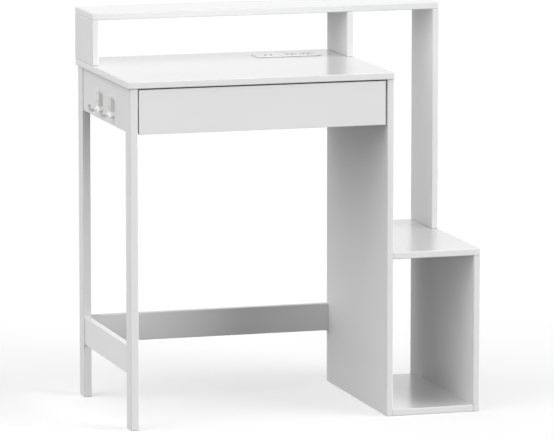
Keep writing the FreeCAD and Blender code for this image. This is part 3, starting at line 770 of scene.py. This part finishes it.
def hook_base(low, high):
    """Plate with round ends and a rounded outer rim, its top end leaning out."""
    lean = 0.008
    turns = 48
    levels = ((0.0, 0.0), (0.0002, 0.0), (0.0086, 0.0), (0.0094, 0.0003), (0.0098, 0.0008),
              (base_depth, 0.0016))
    y = (low.y + high.y) / 2
    half = (high.y - low.y) / 2
    bm = bmesh.new()
    rings = []
    for rise, inset in levels:
        radius = half - inset
        ring = []
        for k in range(turns):
            turn = math.tau * k / turns
            heart = low.z + half
            if k < turns / 2:
                heart = high.z - half - lean * (1 - rise / base_depth)
            if k in (0, turns // 2):
                heart = (high.z + low.z) / 2
            spoke = Vector((0, math.cos(turn), math.sin(turn))) * radius
            ring.append(bm.verts.new(Vector((high.x - rise, y, heart)) + spoke))
        rings.append(ring)
    walled(bm, rings)
    return bm


def hook_arm(spine):
    """Tapering round arm along the smooth curve that a few points pull to themselves."""
    thick = 0.0040
    taper = 0.0015
    steps = 24
    bm = bmesh.new()
    rings = []
    for step in range(steps + 1):
        share = step / steps
        row = spine
        while len(row) > 2:
            row = [a.lerp(b, share) for a, b in zip(row, row[1:])]
        point = row[0].lerp(row[1], share)
        run = (row[1] - row[0]).normalized()
        across = Vector((run.z, 0, -run.x))
        ring = []
        for k in range(steps):
            turn = math.tau * k / steps
            spoke = Vector((0, 1, 0)) * math.cos(turn) + across * math.sin(turn)
            ring.append(bm.verts.new(point + spoke * (thick - taper * share)))
        rings.append(ring)
    walled(bm, rings)
    return bm


def hook_ball(heart):
    """Ball that ends the arm."""
    radius = 0.0036
    steps = 16
    profile = [(0, -radius)]
    for k in range(1, steps):
        turn = math.pi * k / steps
        profile.append((radius * math.sin(turn), -radius * math.cos(turn)))
    profile.append((0, radius))
    bm = bmesh.new()
    turned(bm, profile, Matrix.Translation(heart))
    return bm


arm_line = ((0.004, 0.001), (-0.003, -0.001), (-0.010, -0.0085), (-0.0175, -0.006), (-0.0185, -0.001),
            (-0.018, 0.0055))
hole_radius = 0.0035
hole_depth = 0.0060
for name in ("front_hook", "rear_hook"):
    low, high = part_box(name)
    y = (low.y + high.y) / 2
    half = (high.y - low.y) / 2
    spine = [Vector((high.x - base_depth + out, y, low.z + half + up)) for out, up in arm_line]
    holes = bmesh.new()
    for points in islands("hook_screws"):
        foot, head = sorted(ends(points, 0), key=lambda ring: ring[1])
        if abs(head[0].y - y) < half:
            bmesh.ops.create_cone(holes, cap_ends=True, segments=32, radius1=hole_radius,
                                  radius2=hole_radius, depth=hole_depth, matrix=standing(foot[0], head[0]))
    hook = solid(name + "_cast", hook_base(low, high))
    tools = []
    for limb in (hook_arm(spine), hook_ball(spine[-1])):
        bmesh.ops.recalc_face_normals(limb, faces=limb.faces)
        tools.append(carve(hook, limb, operation="UNION"))
    tools.append(carve(hook, holes))
    settle(hook, tools, sharp=42)
    fit(hook, name, "desk", chrome)
screws("hook_screws", "desk", head_radius=0.0034, head_height=0.0020, radius=0.00175,
       finish=chrome)


# Power strip: a white moulded cover that lies on the desktop, over a tray let through it. Two
# three-pin outlets and two USB ports stand in its openings, and brackets clamp it from below.
strip_white = finish_of("strip_plastic", (0.80, 0.80, 0.80, 1), (0.775, 0.775, 0.775, 1),
                        dull=0.38, metal=0.0, scale=200.0)
outlet_white = finish_of("outlet_plastic", (0.76, 0.76, 0.76, 1), (0.73, 0.73, 0.73, 1),
                         dull=0.44, metal=0.0, scale=240.0)
brass = finish_of("contact_brass", (0.72, 0.53, 0.25, 1), (0.58, 0.40, 0.17, 1),
                  dull=0.30, metal=1.0, scale=260.0, stretch=(1, 20, 1))
port_steel = finish_of("port_steel", (0.58, 0.59, 0.60, 1), (0.46, 0.47, 0.48, 1),
                       dull=0.30, metal=1.0, scale=420.0)
port_black = finish_of("port_plastic", (0.030, 0.030, 0.033, 1), (0.020, 0.020, 0.022, 1),
                       dull=0.50, metal=0.0, scale=420.0)
resin = finish_of("board_resin", (0.035, 0.17, 0.07, 1), (0.025, 0.12, 0.05, 1),
                  dull=0.38, metal=0.0, scale=300.0)
rubber = finish_of("gland_rubber", (0.028, 0.028, 0.028, 1), (0.040, 0.040, 0.040, 1),
                   dull=0.66, metal=0.0, scale=350.0)
for gloss in (strip_white, outlet_white):
    skin = gloss.node_tree.nodes["Principled BSDF"].inputs
    skin["Coat Weight"].default_value = 1.0
    skin["Coat Roughness"].default_value = 0.20
# Painted shade: the outlet faces and the USB shells darken from 0.1 mm below their top and turn near black
# from 0.3 mm down, as shade inside the slots and ports, and lose their coat there.
painted_hollow_shade = (0.012, 0.012, 0.012, 1)
dark_from = 0.0001
dark_to = 0.0003
for hollow, node in ((outlet_white, "outlet_inserts"), (port_steel, "usb_ports")):
    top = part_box(node)[1].z
    tree = hollow.node_tree
    skin = tree.nodes["Principled BSDF"].inputs
    height = wire(tree, "SeparateXYZ", {0: wire(tree, "TexCoord").outputs["Object"]}).outputs[2]
    deep = ranged(tree, height, top - dark_to, top - dark_from, 1.0, 0.0)
    tone = blend(tree, deep, skin["Base Color"].links[0].from_socket, painted_hollow_shade)
    tree.links.new(tone, skin["Base Color"])
    seal = ranged(tree, deep, 0.0, 1.0, skin["Coat Weight"].default_value, 0.0)
    tree.links.new(seal, skin["Coat Weight"])


flush = 1e-5


def neck(points):
    """Box of an outlet insert as wide as its top face, without the flange below."""
    low, high = span(points)
    face_low, face_high = span([p for p in points if abs(p.z - high.z) < flush])
    face_low.z = low.z
    return face_low, face_high


top_low, top_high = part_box("power_strip_cover")
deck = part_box("desktop")[1].z
shadow_gap = 0.0008
corner_round = 0.004
rim_round = 0.0005
rim_reach = 0.0006
end_reach = 0.0045
end_slope = 0.002
plinth_inset = 0.0002
plinth_recess = 0.0015
recess_reach = 0.006
bm = bmesh.new()
cover_box = block(Vector((top_low.x, top_low.y, deck + shadow_gap)), top_high)
bmesh.ops.create_cube(bm, size=1, matrix=cover_box)
upright_edges = [e for e in bm.edges if abs(e.verts[0].co.z - e.verts[1].co.z) > flush]
bmesh.ops.bevel(bm, geom=upright_edges, offset=corner_round, segments=6, profile=0.5, affect="EDGES")
rim = [e for e in bm.edges if min(v.co.z for v in e.verts) > top_high.z - flush]
bmesh.ops.bevel(bm, geom=rim, offset=rim_round, segments=3, profile=0.5, affect="EDGES")
for vert in bm.verts:
    end = min(vert.co.x - top_low.x, top_high.x - vert.co.x)
    if vert.co.z > top_high.z - rim_reach and end < end_reach:
        vert.co.x += math.copysign(end_slope, -vert.co.x + (top_low.x + top_high.x) / 2)
foot = [f for f in bm.faces if f.normal.z < -0.9]
bmesh.ops.inset_region(bm, faces=foot, thickness=plinth_inset)
plinth = bmesh.ops.extrude_face_region(bm, geom=foot)
bmesh.ops.delete(bm, geom=foot, context="FACES_ONLY")
lowered = [v for v in plinth["geom"] if isinstance(v, bmesh.types.BMVert)]
bmesh.ops.translate(bm, vec=(0, 0, -shadow_gap), verts=lowered)
for vert in lowered:
    vert.co.y += plinth_recess * max(0, 1 - (vert.co.y - top_low.y) / recess_reach)
openings = bmesh.new()
room = Vector((0.0001, 0.0001, 0.004))
for points in islands("outlet_inserts"):
    low, high = neck(points)
    low.z = deck
    bmesh.ops.create_cube(openings, size=1, matrix=block(low - room, high + room))
for points in islands("usb_ports"):
    low, high = span(points)
    low.z = deck
    bmesh.ops.create_cube(openings, size=1, matrix=block(low - room, high + room))
cover = solid("power_strip_cover_shell", bm, openings, sharp=35)
fit(cover, "power_strip_cover", "desk", strip_white)
lip_round = 0.0006
slot_shift = 0.004
slot_apart = 0.00635
slot_low = Vector((-0.0016, -0.005, -0.009))
slot_high = Vector((0.0016, 0.005, 0.001))
ground_apart = 0.0119
ground_radius = 0.0026
ground_depth = 0.010
ground_middle = 0.004
bm = bmesh.new()
pins = bmesh.new()
for points in islands("outlet_inserts"):
    low, high = neck(points)
    insert = bmesh.new()
    bmesh.ops.create_cube(insert, size=1, matrix=block(low, high))
    lip = [e for e in insert.edges if min(v.co.z for v in e.verts) > high.z - flush]
    bmesh.ops.bevel(insert, geom=lip, offset=lip_round, segments=3, profile=0.5, affect="EDGES")
    spare = bpy.data.meshes.new("insert")
    insert.to_mesh(spare)
    insert.free()
    bm.from_mesh(spare)
    middle = (low + high) / 2
    slots_y = middle.y + slot_shift
    for x in (middle.x - slot_apart, middle.x + slot_apart):
        heart = Vector((x, slots_y, high.z))
        bmesh.ops.create_cube(pins, size=1, matrix=block(heart + slot_low, heart + slot_high))
    ground = Matrix.Translation((middle.x, slots_y - ground_apart, high.z - ground_middle))
    bmesh.ops.create_cone(pins, cap_ends=True, segments=28, radius1=ground_radius, radius2=ground_radius,
                          depth=ground_depth, matrix=ground)
faces = solid("outlet_inserts_faces", bm, pins, sharp=35)
fit(faces, "outlet_inserts", "desk", outlet_white)
for node, finish in (("power_strip_housing", strip_white), ("outlet_bus_bars", brass),
                     ("usb_ports", port_steel), ("usb_tongues", port_black),
                     ("usb_circuit_board", resin), ("power_strip_brackets", zinc)):
    dress(node, finish)
low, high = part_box("cord_gland")
y_rear = tray_high.y
cord_bore = 0.0030
collar = 0.0050
flange = 0.0070
flange_edge = 0.0068
sleeve = 0.0049
sleeve_groove = 0.0043
rib_start = 0.0024
rib_pitch = 0.0018
profile = [(cord_bore, low.y - y_rear), (collar, low.y - y_rear), (collar, 0.0), (flange_edge, 0.0002),
           (flange, 0.0006), (flange_edge, 0.0019), (0.0052, 0.0021)]
for k in range(3):
    start = rib_start + rib_pitch * k
    profile += [(sleeve, start), (sleeve, start + 0.0011), (sleeve_groove, start + 0.0013),
                (sleeve_groove, start + 0.0017)]
profile += [(0.0046, high.y - y_rear), (cord_bore, high.y - y_rear)]
middle = (low + high) / 2
aim = Matrix.Translation((middle.x, y_rear, middle.z)) @ Matrix.Rotation(-math.pi / 2, 4, "X")
bm = bmesh.new()
turned(bm, profile, aim)
fit(solid("cord_gland_sleeve", bm), "cord_gland", "desk", rubber)
screws("power_strip_screws", "desk", head_radius=0.0026, head_height=0.0012, radius=0.0014)
screws("power_strip_bracket_screws", "desk", head_radius=0.0030, head_height=0.0013, radius=0.0016)


# Floor and light: a seamless white paper sweep, half lit by itself where it is looked at, and six
# broad soft lamps round the desk, the strongest low at the front right. The lamps themselves are not
# mirrored in the gloss, the white round them is.
def looked_at(tree):
    """1 where the camera sees a surface, straight or mirrored in another, and 0 where it only lights."""
    path = wire(tree, "LightPath")
    share = path.outputs["Is Camera Ray"]
    for mirrored in ("Is Glossy Ray", "Is Transmission Ray"):
        share = sums(tree, "MAXIMUM", share, path.outputs[mirrored])
    return share


sweep = 30
paper_white = (0.98, 0.98, 0.98, 1)
paper_dim = (0.14, 0.14, 0.14, 1)
self_lit = 0.5
floor_mesh = bpy.data.meshes.new("floor")
floor_mesh.from_pydata([(-sweep, -sweep, 0), (sweep, -sweep, 0), (sweep, sweep, 0), (-sweep, sweep, 0)],
                       [], [(0, 1, 2, 3)])
floor = bpy.data.objects.new("floor", floor_mesh)
bpy.context.collection.objects.link(floor)
paper = bpy.data.materials.new("studio_floor")
paper.use_nodes = True
tree = paper.node_tree
tree.nodes.clear()
lit = wire(tree, "BsdfDiffuse", {"Color": paper_white})
glow = wire(tree, "Emission", {"Color": (1, 1, 1, 1), "Strength": 1.0})
shown = wire(tree, "MixShader", {0: self_lit, 1: lit.outputs[0], 2: glow.outputs[0]})
dim = wire(tree, "BsdfDiffuse", {"Color": paper_dim})
seen = wire(tree, "MixShader", {0: looked_at(tree), 1: dim.outputs[0], 2: shown.outputs[0]})
wire(tree, "OutputMaterial", {0: seen.outputs[0]})
floor_mesh.materials.append(paper)
world = bpy.data.worlds.new("studio")
bpy.context.scene.world = world
world.use_nodes = True
tree = world.node_tree
tree.nodes.clear()
backdrop = wire(tree, "Background", {"Color": (1, 1, 1, 1), "Strength": looked_at(tree)})
wire(tree, "OutputWorld", {0: backdrop.outputs[0]})
world.cycles.sampling_method = "NONE"
# Each lamp's turn from the front to the right, its rise and its width in degrees, and its strength.
softboxes = ((55, 8, 60, 5.45), (180, 8, 74, 1.13), (270, 8, 74, 0.79),
             (270, 35, 83, 1.20), (300, 35, 83, 1.24), (0, 90, 60, 0.40))
for turn, rise, wide, strength in softboxes:
    bearing = math.radians(turn)
    climb = math.radians(rise)
    aim = Vector((math.cos(climb) * math.sin(bearing), -math.cos(climb) * math.cos(bearing), math.sin(climb)))
    lamp = bpy.data.lights.new("softbox", "SUN")
    lamp.energy = strength
    lamp.angle = math.radians(wide)
    softbox = bpy.data.objects.new("softbox", lamp)
    softbox.rotation_euler = aim.to_track_quat("Z", "Y").to_euler()
    softbox.visible_glossy = False
    bpy.context.collection.objects.link(softbox)


# Camera: a long lens about 11 m away, from the left and a little above, as in the product picture.
# Its focal length is known in the picture's pixels.
picture_width = 554
focal_pixels = 5060
pan = -16.608
tilt = 8.836
view = bpy.data.cameras.new("camera")
view.sensor_fit = "HORIZONTAL"
view.sensor_width = 36.0
view.lens = focal_pixels * view.sensor_width / picture_width
view.clip_end = 100
eye = bpy.data.objects.new("camera", view)
eye.location = (-3.1472, -10.5933, 2.1311)
eye.rotation_euler = (math.radians(90 - tilt), 0, math.radians(pan))
bpy.context.collection.objects.link(eye)
bpy.context.scene.camera = eye
